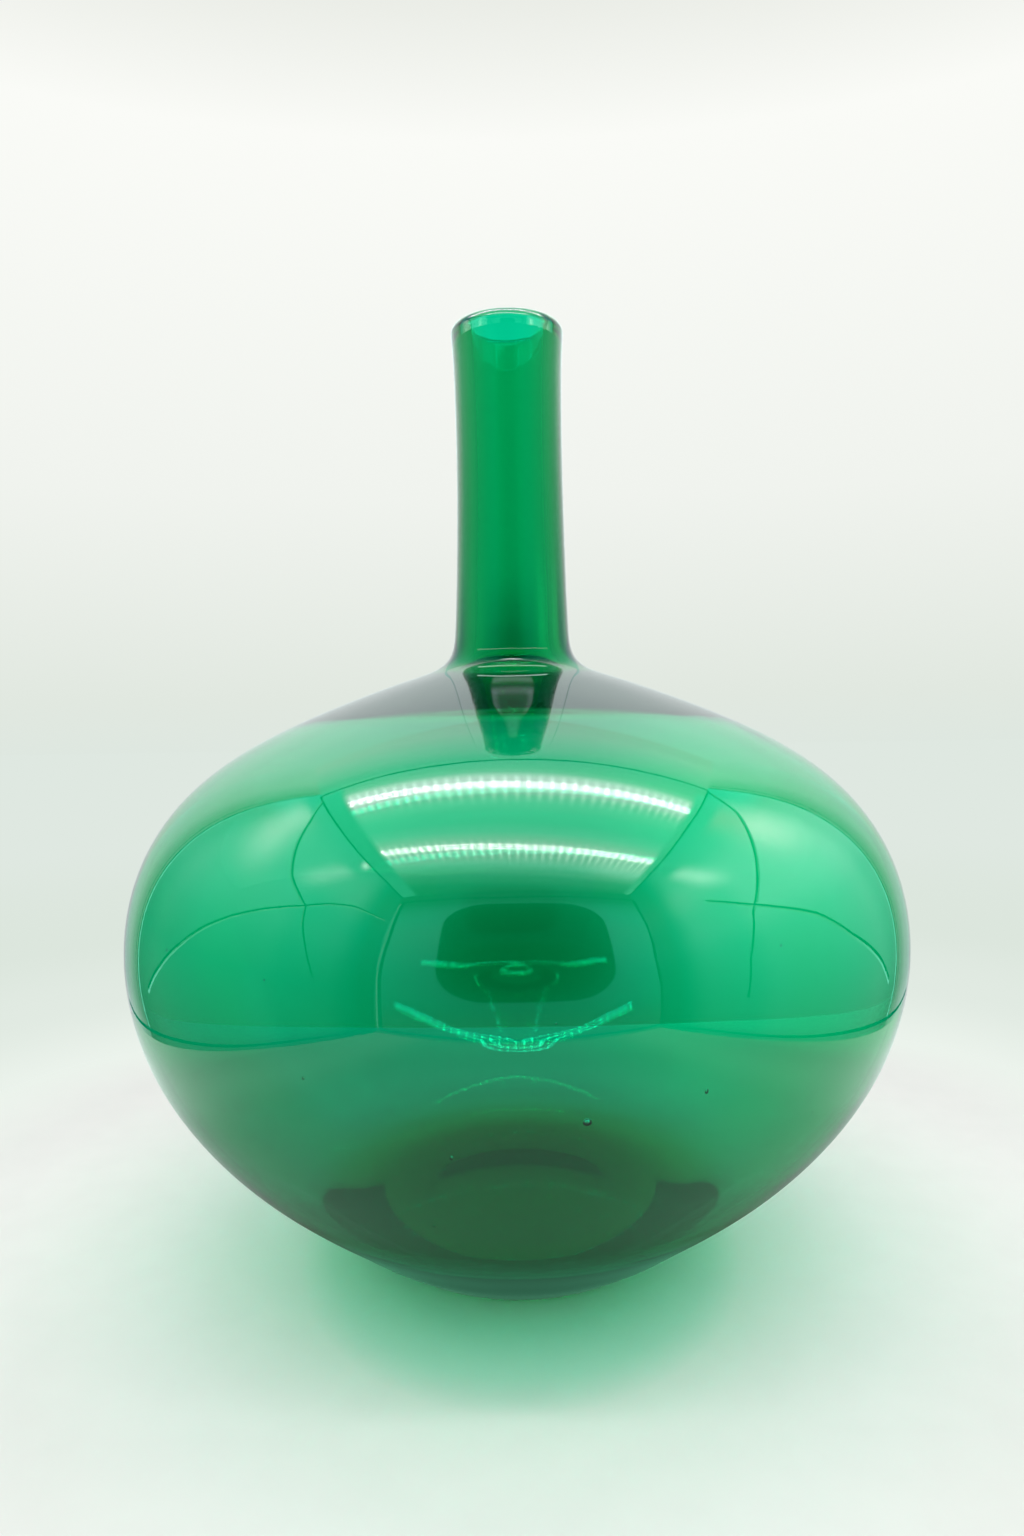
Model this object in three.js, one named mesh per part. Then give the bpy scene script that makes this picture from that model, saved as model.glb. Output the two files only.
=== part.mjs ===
// Floor vase: a mouth-blown vessel of clear coloured glass, a flattened globe
// body under a tall thick-walled neck with a fire-polished lip.
// Millimetres, +Z up, the foot ring stands on z = 0, axis of revolution on Z.
// The vessel is one continuous wall of glass. It is modelled as the zones that
// are worked one after the other, from the foot to the lip, and each zone meets
// the next on a flat ring that both share.

import * as THREE from "three";

// ---- driving dimensions (mm) ------------------------------------------------

const SEGMENTS = 60; // facets round the axis

// Flat rings where one zone of the wall passes into the next.
const BASE_TOP_Z = 34.6;
const EQUATOR_Z = 122.0;
const NECK_FOOT_Z = 236.0;
const LIP_FOOT_Z = 338.0;

// Foot: a flat ring that the vase stands on, with a shallow hollow inside it.
const FOOT_RING_INNER_R = 42.0;
const FOOT_RING_OUTER_R = 48.0;
const FOOT_ROUNDING_R = 15.0;
const PUNT_DEPTH = 3.0;

// Lip.
const LIP_OUTER_R = 21.4;
const LIP_OUTER_ROUNDING = 3.4;
const LIP_INNER_ROUNDING = 3.0;
const MOUTH_BORE_R = 13.8;
const TOTAL_HEIGHT = 353.0;

// Inner floor, above the thick base.
const FLOOR_Z = 17.84;

// Outside of the wall above the foot, as radius and height, bottom to top.
const OUTSIDE = [
  [60.59, 5.48], [70.36, 12.31], [79.96, 19.97], [89.34, 27.44],
  [98.45, 35.02], [107.22, 43.03], [115.49, 51.65], [123.1, 60.9],
  [129.86, 70.79], [135.43, 81.0], [139.94, 92.1], [143.1, 103.7],
  [144.78, 115.5], [145.0, 122.0], [144.84, 127.14], [143.2, 139.0],
  [139.76, 150.47], [134.52, 161.23], [127.63, 171.02], [119.34, 179.65],
  [109.97, 187.11], [99.84, 193.51], [89.24, 199.08], [78.33, 204.05],
  [67.25, 208.61], [56.06, 212.88], [46.39, 216.34], [38.92, 218.84],
  [33.4, 220.67], [28.71, 222.73], [25.48, 225.25], [23.43, 228.39],
  [22.43, 232.34], [21.94, 237.44], [21.66, 243.25], [21.28, 253.17],
  [20.9, 267.2], [20.48, 287.39], [20.34, 307.25], [20.52, 327.45],
  [20.84, 339.43], [21.2, 346.6],
];

// Inside of the wall, from the inner floor to the mouth.
const INSIDE = [
  [48.0, 17.87], [54.0, 17.92], [59.0, 18.21], [63.5, 18.83], [68.0, 19.88],
  [72.0, 21.23], [76.0, 22.96], [80.0, 25.08], [84.0, 27.6], [88.0, 30.53],
  [92.0, 33.78], [96.0, 37.15], [102.3, 42.82], [109.0, 49.41],
  [114.0, 54.84], [121.75, 64.44], [127.65, 73.26], [132.65, 82.48],
  [136.66, 92.18], [139.6, 102.26], [141.4, 112.6], [141.9, 122.0],
  [141.74, 126.95], [140.17, 138.35], [136.87, 149.34], [131.84, 159.65],
  [125.22, 169.04], [117.23, 177.33], [108.14, 184.54], [98.25, 190.75],
  [87.82, 196.19], [77.01, 201.01], [65.85, 205.09], [54.39, 208.37],
  [44.2, 210.5], [36.5, 211.85], [30.6, 213.2], [24.54, 215.53],
  [19.33, 219.55], [15.74, 225.05], [14.23, 230.96], [13.91, 236.88],
  [13.76, 242.84], [13.55, 252.89], [13.17, 266.99], [12.73, 287.28],
  [12.63, 307.26], [12.91, 327.59], [13.29, 339.68], [13.6, 346.0],
];

// ---- profiles ---------------------------------------------------------------

// Points on a circular rounding, both ends included, angles in degrees.
function arc(cr, cz, radius, from, to, steps) {
  const out = [];
  for (let i = 0; i <= steps; i++) {
    const a = ((from + ((to - from) * i) / steps) * Math.PI) / 180;
    out.push([cr + radius * Math.cos(a), cz + radius * Math.sin(a)]);
  }
  return out;
}

// Underside of the hollow, from the axis out to the foot ring.
const PUNT = [
  [0, PUNT_DEPTH],
  [14, PUNT_DEPTH * 0.92],
  [26, PUNT_DEPTH * 0.68],
  [34, PUNT_DEPTH * 0.36],
  [39, PUNT_DEPTH * 0.1],
  [FOOT_RING_INNER_R, 0],
];

const FOOT = [
  ...PUNT,
  ...arc(FOOT_RING_OUTER_R, FOOT_ROUNDING_R, FOOT_ROUNDING_R, -90, -60, 3),
];

const LIP_OUTSIDE = arc(
  LIP_OUTER_R - LIP_OUTER_ROUNDING,
  TOTAL_HEIGHT - LIP_OUTER_ROUNDING,
  LIP_OUTER_ROUNDING, 0, 90, 5,
);
const LIP_INSIDE = arc(
  MOUTH_BORE_R + LIP_INNER_ROUNDING,
  TOTAL_HEIGHT - LIP_INNER_ROUNDING,
  LIP_INNER_ROUNDING, 180, 90, 4,
);

const outer = [...FOOT, ...OUTSIDE, ...LIP_OUTSIDE];
const inner = [[0, FLOOR_Z], [20, FLOOR_Z], ...INSIDE, ...LIP_INSIDE];

// Radius of a rising profile at a height.
function radiusAt(profile, z) {
  for (let i = 1; i < profile.length; i++) {
    const [r0, z0] = profile[i - 1];
    const [r1, z1] = profile[i];
    if (z0 < z && z1 >= z) return r0 + ((r1 - r0) * (z - z0)) / (z1 - z0);
  }
  throw new Error("height outside the profile");
}

// The stretch of a profile strictly between two heights.
function between(profile, low, high) {
  return profile.filter(([, z]) => z > low + 0.2 && z < high - 0.2);
}

// Closed outline of the wall between two flat rings, going up the outside and
// back down the inside.
function ringOutline(low, high) {
  return [
    [radiusAt(outer, low), low],
    ...between(outer, low, high),
    [radiusAt(outer, high), high],
    [radiusAt(inner, high), high],
    ...between(inner, low, high).reverse(),
    [radiusAt(inner, low), low],
  ];
}

// ---- solids -----------------------------------------------------------------

// Turns an outline about Z. An outline that starts and ends on the axis gets a
// single point there; any other outline closes on its own first point.
function turn(outline, onAxis) {
  const position = [];
  const rows = outline.map(([r, z]) => {
    const first = position.length / 3;
    if (r === 0) {
      position.push(0, 0, z);
      return { first, pole: true };
    }
    for (let i = 0; i < SEGMENTS; i++) {
      const a = (2 * Math.PI * i) / SEGMENTS;
      position.push(r * Math.cos(a), r * Math.sin(a), z);
    }
    return { first, pole: false };
  });
  const index = [];
  const last = onAxis ? rows.length - 1 : rows.length;
  for (let k = 0; k < last; k++) {
    const low = rows[k];
    const high = rows[(k + 1) % rows.length];
    for (let i = 0; i < SEGMENTS; i++) {
      const j = (i + 1) % SEGMENTS;
      if (low.pole) {
        index.push(low.first, high.first + j, high.first + i);
      } else if (high.pole) {
        index.push(low.first + i, low.first + j, high.first);
      } else {
        index.push(low.first + i, low.first + j, high.first + j);
        index.push(low.first + i, high.first + j, high.first + i);
      }
    }
  }
  const geometry = new THREE.BufferGeometry();
  geometry.setAttribute(
    "position",
    new THREE.Float32BufferAttribute(position, 3),
  );
  geometry.setIndex(index);
  geometry.computeVertexNormals();
  return geometry;
}

const glass = new THREE.MeshStandardMaterial({
  name: "green_glass",
  color: new THREE.Color(0.03, 0.45, 0.24),
  roughness: 0.05,
  metalness: 0,
});

function piece(name, geometry) {
  const mesh = new THREE.Mesh(geometry, glass);
  mesh.name = name;
  return mesh;
}

// Thick base: punt, foot ring, rounded heel, inner floor.
const baseOutline = [
  ...FOOT,
  ...OUTSIDE.filter(([, z]) => z < BASE_TOP_Z - 0.2),
  [radiusAt(outer, BASE_TOP_Z), BASE_TOP_Z],
  [radiusAt(inner, BASE_TOP_Z), BASE_TOP_Z],
  ...INSIDE.filter(([, z]) => z < BASE_TOP_Z - 0.2).reverse(),
  [20, FLOOR_Z],
  [0, FLOOR_Z],
];

// Lip: the fire-polished top of the neck.
const lipOutline = [
  [radiusAt(outer, LIP_FOOT_Z), LIP_FOOT_Z],
  ...OUTSIDE.filter(([, z]) => z > LIP_FOOT_Z + 0.2),
  ...LIP_OUTSIDE,
  ...[...LIP_INSIDE].reverse(),
  ...INSIDE.filter(([, z]) => z > LIP_FOOT_Z + 0.2).reverse(),
  [radiusAt(inner, LIP_FOOT_Z), LIP_FOOT_Z],
];

const vase = new THREE.Group();
vase.name = "floor_vase";
vase.add(piece("base", turn(baseOutline, true)));
vase.add(piece("lower_bowl", turn(ringOutline(BASE_TOP_Z, EQUATOR_Z), false)));
vase.add(piece("shoulder", turn(ringOutline(EQUATOR_Z, NECK_FOOT_Z), false)));
vase.add(piece("neck", turn(ringOutline(NECK_FOOT_Z, LIP_FOOT_Z), false)));
vase.add(piece("lip", turn(lipOutline, false)));

export default vase;
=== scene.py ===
import math

import bpy
import numpy as np
from mathutils import Euler, Matrix, Vector


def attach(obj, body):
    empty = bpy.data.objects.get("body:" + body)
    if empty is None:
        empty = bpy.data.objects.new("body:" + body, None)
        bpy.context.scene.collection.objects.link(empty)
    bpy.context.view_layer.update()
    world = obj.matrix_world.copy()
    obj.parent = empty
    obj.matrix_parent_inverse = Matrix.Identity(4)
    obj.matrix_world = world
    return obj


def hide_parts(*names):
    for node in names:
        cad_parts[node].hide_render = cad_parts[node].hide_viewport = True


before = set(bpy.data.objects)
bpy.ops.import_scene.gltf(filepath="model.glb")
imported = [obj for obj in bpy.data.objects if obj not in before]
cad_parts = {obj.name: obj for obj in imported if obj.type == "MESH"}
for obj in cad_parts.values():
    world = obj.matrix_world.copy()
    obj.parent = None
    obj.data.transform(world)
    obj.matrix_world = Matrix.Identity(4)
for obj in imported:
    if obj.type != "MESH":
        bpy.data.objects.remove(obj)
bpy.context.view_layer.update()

scene = bpy.context.scene
rng = np.random.default_rng(7)

# ---------------------------------------------------------------------------
# Camera: at the height and distance that the outline's perspective gives.
# ---------------------------------------------------------------------------
CAM = Vector((-0.00067, -0.4003, 0.2048))
cam_data = bpy.data.cameras.new("camera")
cam_data.sensor_fit = "VERTICAL"
cam_data.sensor_height = 36.0
cam_data.sensor_width = 24.0
cam_data.lens = 24.0
cam_data.clip_start = 0.01
cam = bpy.data.objects.new("camera", cam_data)
scene.collection.objects.link(cam)
look = Euler((math.radians(90.0 - 3.0), 0.0, 0.0)).to_matrix().to_4x4()
roll = Matrix.Rotation(math.radians(-0.925), 4, "Z")
cam.matrix_world = Matrix.Translation(CAM) @ look @ roll
scene.camera = cam

# ---------------------------------------------------------------------------
# Profile of the wall, metres. Outside and inside as (radius, height).
# ---------------------------------------------------------------------------
OUTSIDE = [
    (60.59, 5.48), (70.36, 12.31), (79.96, 19.97), (89.34, 27.44), (98.45, 35.02),
    (107.22, 43.03), (115.49, 51.65), (123.1, 60.9), (129.86, 70.79), (135.43, 81.0),
    (139.94, 92.1), (143.1, 103.7), (144.78, 115.5), (144.84, 127.14), (143.2, 139.0),
    (139.76, 150.47), (134.52, 161.23), (127.63, 171.02), (119.34, 179.65), (109.97, 187.11),
    (99.84, 193.51), (89.24, 199.08), (78.33, 204.05), (67.25, 208.61), (56.06, 212.88),
    (46.39, 216.34), (38.92, 218.84), (33.4, 220.67), (28.71, 222.73), (25.48, 225.25),
    (23.43, 228.39), (22.43, 232.34), (21.94, 237.44), (21.66, 243.25), (21.28, 253.17),
    (20.9, 267.2), (20.48, 287.39), (20.34, 307.25), (20.52, 327.45), (20.84, 339.43),
]
INSIDE = [
    (0.0, 17.84), (12.0, 17.84), (24.0, 17.84), (36.0, 17.85), (48.0, 17.87), (54.0, 17.92),
    (59.0, 18.21), (63.5, 18.83), (68.0, 19.88), (72.0, 21.23), (76.0, 22.96), (80.0, 25.08),
    (84.0, 27.6), (88.0, 30.53), (92.0, 33.78), (96.0, 37.15), (100.0, 40.72), (104.5, 44.9),
    (109.0, 49.41), (114.0, 54.84), (121.75, 64.44), (127.65, 73.26), (132.65, 82.48),
    (136.66, 92.18), (139.6, 102.26), (141.39, 112.6),
    (141.74, 126.95), (140.17, 138.35),
    (136.87, 149.34), (131.84, 159.65), (125.22, 169.04), (117.23, 177.33), (108.14, 184.54),
    (98.25, 190.75), (87.82, 196.19), (77.01, 201.01), (65.85, 205.09), (54.39, 208.37),
    (44.2, 210.5), (36.5, 211.85), (30.6, 213.2), (24.54, 215.53), (19.33, 219.55),
    (15.74, 225.05), (14.23, 230.96), (13.91, 236.88), (13.76, 242.84), (13.55, 252.89),
    (13.17, 266.99), (12.73, 287.28), (12.63, 307.26), (12.91, 327.59), (13.29, 339.68),
    (13.6, 346.0),
]
PUNT = [(0.0, 3.0), (14.0, 2.76), (26.0, 2.04), (34.0, 1.08), (39.0, 0.3), (42.0, 0.0)]
HEIGHT = 353.0


def spline(points, n, even=1.0):
    """Natural cubic spline through points over chord length, n samples, equal arc steps."""
    p = np.array(points, float)
    s = np.r_[0.0, np.cumsum(np.hypot(*np.diff(p, axis=0).T) ** even)]
    m = len(p)
    h = np.diff(s)
    a = np.zeros((m, m))
    b = np.zeros((m, 2))
    a[0, 0] = a[-1, -1] = 1.0
    for i in range(1, m - 1):
        a[i, i - 1], a[i, i], a[i, i + 1] = h[i - 1], 2 * (h[i - 1] + h[i]), h[i]
        b[i] = 6 * ((p[i + 1] - p[i]) / h[i] - (p[i] - p[i - 1]) / h[i - 1])
    k = np.linalg.solve(a, b)

    def at(t):
        t = np.clip(np.asarray(t, float), 0.0, s[-1])
        i = np.clip(np.searchsorted(s, t, side="right") - 1, 0, m - 2)
        u = (t - s[i])[:, None]
        hi = h[i][:, None]
        c = (p[i + 1] - p[i]) / hi - hi * (2 * k[i] + k[i + 1]) / 6
        return p[i] + u * c + u**2 * k[i] / 2 + u**3 * (k[i + 1] - k[i]) / (6 * hi)

    fine = at(np.linspace(0, s[-1], 6000))
    d = np.r_[0.0, np.cumsum(np.hypot(*np.diff(fine, axis=0).T))]
    want = np.linspace(0, d[-1], n)
    return at(np.interp(want, d, np.linspace(0, s[-1], 6000)))


def arc(cr, cz, radius, a0, a1, steps):
    t = np.radians(np.linspace(a0, a1, steps))
    return np.c_[cr + radius * np.cos(t), cz + radius * np.sin(t)]


punt = spline(PUNT, 26)
heel = arc(48.0, 15.0, 15.0, -90.0, -57.0, 12)
outside = spline([tuple(heel[-1])] + OUTSIDE + [(21.2, 346.2), (21.4, 349.6)], 300)
crest = np.vstack([
    arc(21.4 - 3.4, HEIGHT - 3.4, 3.4, 0.0, 90.0, 12)[1:],
    arc(13.8 + 3.0, HEIGHT - 3.0, 3.0, 90.0, 180.0, 11),
])
inside = spline(INSIDE + [(13.8, 350.0)], 300)[::-1]

outline = np.vstack([punt, heel[1:], outside[1:], crest, inside[1:]])
outline[0, 0] = outline[-1, 0] = 0.0
ROWS = len(outline)
SIDES = 288
N_INNER0 = len(punt) + len(heel) - 1 + len(outside) - 1 + len(crest)


def waves(theta, z, table):
    """Sum of slow waves round and along the wall, in millimetres."""
    out = np.zeros(np.broadcast(theta, z).shape)
    for amp, m, wl, ph, pz in table:
        out += amp * np.cos(m * theta + ph) * np.cos(2 * np.pi * z / wl + pz)
    return out


def wave_table(rows, amp, ms, wls):
    out = []
    for _ in range(rows):
        out.append((amp * rng.uniform(0.4, 1.0), int(rng.choice(ms)), rng.uniform(*wls),
                    rng.uniform(0, 2 * np.pi), rng.uniform(0, 2 * np.pi)))
    return out


OUT_WAVES = wave_table(7, 0.035, [2, 3, 4, 5], (120, 320))
IN_WAVES = wave_table(10, 0.028, [1, 2, 3, 4, 6], (70, 260))
STREAKS = [(0.02 * rng.uniform(0.4, 1.0), int(m), rng.uniform(0, 2 * np.pi)) for m in (7, 9, 11, 13, 17)]


def wall_point(r, z, theta, inner):
    """Real place of a wall point: the turned outline with the hand-made departures."""
    fade = np.clip(r / 12.0, 0, 1) * np.clip((z - 1.0) / 12.0, 0, 1)
    body = np.clip((222.0 - z) / 30.0, 0, 1)
    d = waves(theta, z, OUT_WAVES) * fade * (0.3 + 0.7 * body)
    if inner:
        d = d + waves(theta, z, IN_WAVES) * np.clip((r - 10.0) / 60.0, 0, 1)
        neck = np.clip((z - 225.0) / 20.0, 0, 1)
        for amp, m, ph in STREAKS:
            d = d + amp * neck * np.cos(m * theta + ph)
    # the neck bows a little and the lower bowl hangs a little to one side
    bow = -0.25 * np.sin(np.pi * np.clip((z - 215.0) / 138.0, 0, 1))
    sag = 0.1 * np.sin(np.pi * np.clip(z / 200.0, 0, 1)) * np.clip(r / 40.0, 0, 1)
    rr = r + d
    return rr * np.cos(theta) - bow + sag, rr * np.sin(theta), z + 0 * theta


verts = []
faces = []
theta = np.arange(SIDES) * 2 * np.pi / SIDES
start = []
for k, (r, z) in enumerate(outline):
    start.append(len(verts))
    if r < 1e-6:
        verts.append((0.0, 0.0, z))
        continue
    x, y, zz = wall_point(r, z, theta, k >= N_INNER0)
    verts.extend(np.c_[x, y, zz])
for k in range(ROWS - 1):
    a, b = start[k], start[k + 1]
    for i in range(SIDES):
        j = (i + 1) % SIDES
        if outline[k, 0] < 1e-6:
            faces.append((a, b + j, b + i))
        elif outline[k + 1, 0] < 1e-6:
            faces.append((a + i, a + j, b))
        else:
            faces.append((a + i, a + j, b + j, b + i))


def bubble(at, along, size, stretch):
    """Closed hollow in the wall, its faces turned inward, drawn out along the wall."""
    n, m = 10, 12
    at, along = np.array(at), np.array(along, float)
    axis = along / np.linalg.norm(along)
    radial = np.array([at[0], at[1], 0.0])
    radial /= np.linalg.norm(radial)
    u = np.cross(radial, axis)
    u /= np.linalg.norm(u)
    w = np.cross(axis, u)
    first = len(verts)
    verts.append(tuple(at + axis * size * stretch))
    for k in range(1, n):
        t = np.pi * k / n
        for i in range(m):
            a = 2 * np.pi * i / m
            verts.append(tuple(at + axis * size * stretch * np.cos(t) + size * np.sin(t) * (u * np.cos(a) + w * 0.8 * np.sin(a))))
    verts.append(tuple(at - axis * size * stretch))
    end = len(verts) - 1
    hand = np.dot(np.cross(u, w), axis) > 0
    for i in range(m):
        j = (i + 1) % m
        loops = [(first, first + 1 + i, first + 1 + j)]
        for k in range(n - 2):
            p, q = first + 1 + k * m, first + 1 + (k + 1) * m
            loops.append((p + i, q + i, q + j, p + j))
        p = first + 1 + (n - 2) * m
        loops.append((end, p + j, p + i))
        # outward order is reversed: the glass lies outside the bubble
        faces.extend(tuple(reversed(f)) if hand else f for f in loops)


# place round the vase in degrees (-90 faces the camera), height, half width in mm, stretch
SEEDS = [
    (-82.9, 98.6, 1.25, 0.85), (-69.6, 103.9, 0.55, 1.3), (-97.6, 88.1, 0.50, 1.4), (-98.6, 84.0, 0.30, 1.2),
    (-101.5, 61.9, 0.42, 1.5), (-81.5, 50.5, 0.34, 1.4), (-113.9, 108.3, 0.32, 1.6), (-86.2, 126.2, 0.28, 1.3),
    (-137.0, 136.2, 0.33, 1.5), (-52.0, 88.0, 0.30, 1.4), (-121.0, 74.0, 0.28, 1.3),
    (28.0, 96.0, 0.55, 1.3), (74.0, 118.0, 0.40, 1.5), (151.0, 83.0, 0.50, 1.2), (-12.0, 132.0, 0.36, 1.6),
    (196.0, 104.0, 0.42, 1.4), (102.0, 70.0, 0.34, 1.3),
]
OUT_Z, OUT_R = np.array([p[1] for p in OUTSIDE]), np.array([p[0] for p in OUTSIDE])


def mid_wall(z):
    """Middle of the wall's thickness, starting from a height on its outside."""
    r0 = np.interp(z, OUT_Z, OUT_R)
    slope = (np.interp(z + 0.5, OUT_Z, OUT_R) - np.interp(z - 0.5, OUT_Z, OUT_R))
    n = np.array([-1.0, slope]) / np.hypot(1.0, slope)
    return r0 + 1.55 * n[0], z + 1.55 * n[1], slope


for turned, z, size, stretch in SEEDS:
    r, zz, slope = mid_wall(z)
    a = math.radians(turned)
    bubble((r * math.cos(a), r * math.sin(a), zz), (slope * math.cos(a), slope * math.sin(a), 1.0), size, stretch)

mesh = bpy.data.meshes.new("vase_glass")
mesh.from_pydata((np.array(verts) * 0.001).tolist(), [], faces)
mesh.polygons.foreach_set("use_smooth", np.ones(len(mesh.polygons), bool))
mesh.update()
vase = bpy.data.objects.new("vase_glass", mesh)
scene.collection.objects.link(vase)

# ---------------------------------------------------------------------------
# Glass
# ---------------------------------------------------------------------------
glass = bpy.data.materials.new("green_glass")
glass.use_nodes = True
nt = glass.node_tree
nt.nodes.clear()
out = nt.nodes.new("ShaderNodeOutputMaterial")
bsdf = nt.nodes.new("ShaderNodeBsdfPrincipled")
bsdf.inputs["IOR"].default_value = 1.5
bsdf.inputs["Transmission Weight"].default_value = 1.0
place = nt.nodes.new("ShaderNodeTexCoord")


def noise(scale, detail, squeeze=(1.0, 1.0, 1.0)):
    fit = nt.nodes.new("ShaderNodeMapping")
    fit.inputs["Scale"].default_value = squeeze
    nt.links.new(place.outputs["Object"], fit.inputs["Vector"])
    n = nt.nodes.new("ShaderNodeTexNoise")
    n.inputs["Scale"].default_value = scale
    n.inputs["Detail"].default_value = detail
    nt.links.new(fit.outputs["Vector"], n.inputs["Vector"])
    return n.outputs["Fac"]


def ramped(value, stops):
    r = nt.nodes.new("ShaderNodeValToRGB")
    for e, (p, c) in zip(r.color_ramp.elements, stops):
        e.position = p
        e.color = (*c, 1)
    nt.links.new(value, r.inputs["Fac"])
    return r.outputs["Color"]


# faint cords of thicker colour drawn up the wall, on the surface's own colour
nt.links.new(ramped(noise(9.0, 4.0, (1.0, 1.0, 0.22)), [(0.38, (0.985, 1.0, 0.99)), (0.66, (1.0, 1.0, 1.0))]), bsdf.inputs["Base Color"])
# fire-polished skin with a few duller touched places
dull = nt.nodes.new("ShaderNodeMapRange")
dull.interpolation_type = "SMOOTHSTEP"
dull.inputs["From Min"].default_value = 0.66
dull.inputs["From Max"].default_value = 0.80
dull.inputs["To Min"].default_value = 0.0
dull.inputs["To Max"].default_value = 0.035
nt.links.new(noise(26.0, 5.0), dull.inputs["Value"])
nt.links.new(dull.outputs[0], bsdf.inputs["Roughness"])
# hand-blown ripple of the skin
ripple = nt.nodes.new("ShaderNodeBump")
ripple.inputs["Strength"].default_value = 1.0
ripple.inputs["Distance"].default_value = 0.00003
nt.links.new(noise(42.0, 1.0, (1.0, 1.0, 0.5)), ripple.inputs["Height"])
nt.links.new(ripple.outputs["Normal"], bsdf.inputs["Normal"])
vol = nt.nodes.new("ShaderNodeVolumeAbsorption")
vol.inputs["Color"].default_value = (0.0, 0.932, 0.845, 1)
vol.inputs["Density"].default_value = 1000.0
nt.links.new(bsdf.outputs["BSDF"], out.inputs["Surface"])
nt.links.new(vol.outputs["Volume"], out.inputs["Volume"])
mesh.materials.append(glass)
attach(vase, "root")
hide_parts("base", "lower_bowl", "shoulder", "neck", "lip")

# ---------------------------------------------------------------------------
# Studio: a white light tent with two LED strips in its roof. The panels are
# soft lights; the camera doesn't see them, so it can stand outside them.
# ---------------------------------------------------------------------------
HALF, BACK, FRONT, TOP = 0.318, 0.252, -0.510, 0.564
STRIPS = ((-0.0315, -0.27, 0.30), (-0.279, -0.27, 0.30))  # middle in Y, ends in X


def srgb(*c):
    return tuple((v / 255 / 12.92) if v / 255 <= 0.04045 else ((v / 255 + 0.055) / 1.055) ** 2.4 for v in c)


def smooth(a, b, x):
    t = np.clip((x - a) / (b - a), 0, 1)
    return t * t * (3 - 2 * t)


def bump(x, y, cx, cy, sx, sy):
    return np.exp(-(((x - cx) / sx) ** 2 + ((y - cy) / sy) ** 2) / 2)


def lamp_material():
    m = bpy.data.materials.new("panel_light")
    m.use_nodes = True
    t = m.node_tree
    t.nodes.clear()
    o = t.nodes.new("ShaderNodeOutputMaterial")
    e = t.nodes.new("ShaderNodeEmission")
    a = t.nodes.new("ShaderNodeAttribute")
    a.attribute_name = "light"
    t.links.new(a.outputs["Color"], e.inputs["Color"])
    t.links.new(e.outputs[0], o.inputs["Surface"])
    m.cycles.emission_sampling = "NONE"
    return m


def even_emitter(name, color, strength, sampled=True):
    m = bpy.data.materials.new(name)
    m.use_nodes = True
    t = m.node_tree
    t.nodes.clear()
    o = t.nodes.new("ShaderNodeOutputMaterial")
    e = t.nodes.new("ShaderNodeEmission")
    e.inputs["Color"].default_value = (*color, 1)
    e.inputs["Strength"].default_value = strength
    t.links.new(e.outputs[0], o.inputs["Surface"])
    if not sampled:
        m.cycles.emission_sampling = "NONE"
    return m


PANEL = lamp_material()


def seen_by(o, *kinds):
    o.visible_camera = "camera" in kinds
    o.visible_diffuse = "diffuse" in kinds
    o.visible_glossy = "glossy" in kinds
    o.visible_transmission = "transmission" in kinds
    o.visible_volume_scatter = False
    o.visible_shadow = "shadow" in kinds


def panel(name, u_axis, v_axis, fixed, at, u_range, v_range, step, light, kinds):
    """Flat panel square to an axis, with its light painted on a fine grid."""
    nu = int(round((u_range[1] - u_range[0]) / step)) + 1
    nv = int(round((v_range[1] - v_range[0]) / step)) + 1
    u, v = np.meshgrid(np.linspace(*u_range, nu), np.linspace(*v_range, nv))
    p = np.zeros((nv, nu, 3))
    p[..., u_axis], p[..., v_axis], p[..., fixed] = u, v, at
    i = np.arange(nv * nu).reshape(nv, nu)
    quads = np.stack([i[:-1, :-1], i[:-1, 1:], i[1:, 1:], i[1:, :-1]], -1).reshape(-1, 4)
    m = bpy.data.meshes.new(name)
    m.vertices.add(nu * nv)
    m.vertices.foreach_set("co", p.reshape(-1))
    m.loops.add(quads.size)
    m.loops.foreach_set("vertex_index", quads.reshape(-1))
    m.polygons.add(len(quads))
    m.polygons.foreach_set("loop_start", np.arange(len(quads)) * 4)
    m.polygons.foreach_set("loop_total", np.full(len(quads), 4))
    m.update()
    rgb = light(u, v)
    rgba = np.ones((nv, nu, 4))
    rgba[..., :3] = np.clip(rgb, 0, None)
    a = m.color_attributes.new("light", "FLOAT_COLOR", "POINT")
    a.data.foreach_set("color", rgba.reshape(-1))
    m.materials.append(PANEL)
    o = bpy.data.objects.new(name, m)
    scene.collection.objects.link(o)
    seen_by(o, *kinds)
    return o


def sheet(name, polygons, mat, kinds):
    pts, idx = [], []
    for poly in polygons:
        idx.append(tuple(range(len(pts), len(pts) + len(poly))))
        pts.extend(tuple(map(float, q)) for q in poly)
    m = bpy.data.meshes.new(name)
    m.from_pydata(pts, [], idx)
    m.materials.append(mat)
    o = bpy.data.objects.new(name, m)
    scene.collection.objects.link(o)
    seen_by(o, *kinds)
    return o


def grey(level, tint=(1.0, 1.0, 1.0)):
    return np.stack([level * tint[0], level * tint[1], level * tint[2]], -1)


# --- light that reaches the floor and comes through the glass ----------------
THROUGH = ("transmission",)
# level of the sheet by height, as the open background shows it
Z_LEVEL = [0.0, 0.03, 0.06, 0.10, 0.16, 0.21, 0.27, 0.33, 0.40, 0.47, 0.564]
G_LEVEL = [0.52, 0.58, 0.65, 0.74, 0.82, 0.88, 0.93, 0.95, 1.00, 1.00, 0.98]


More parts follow.
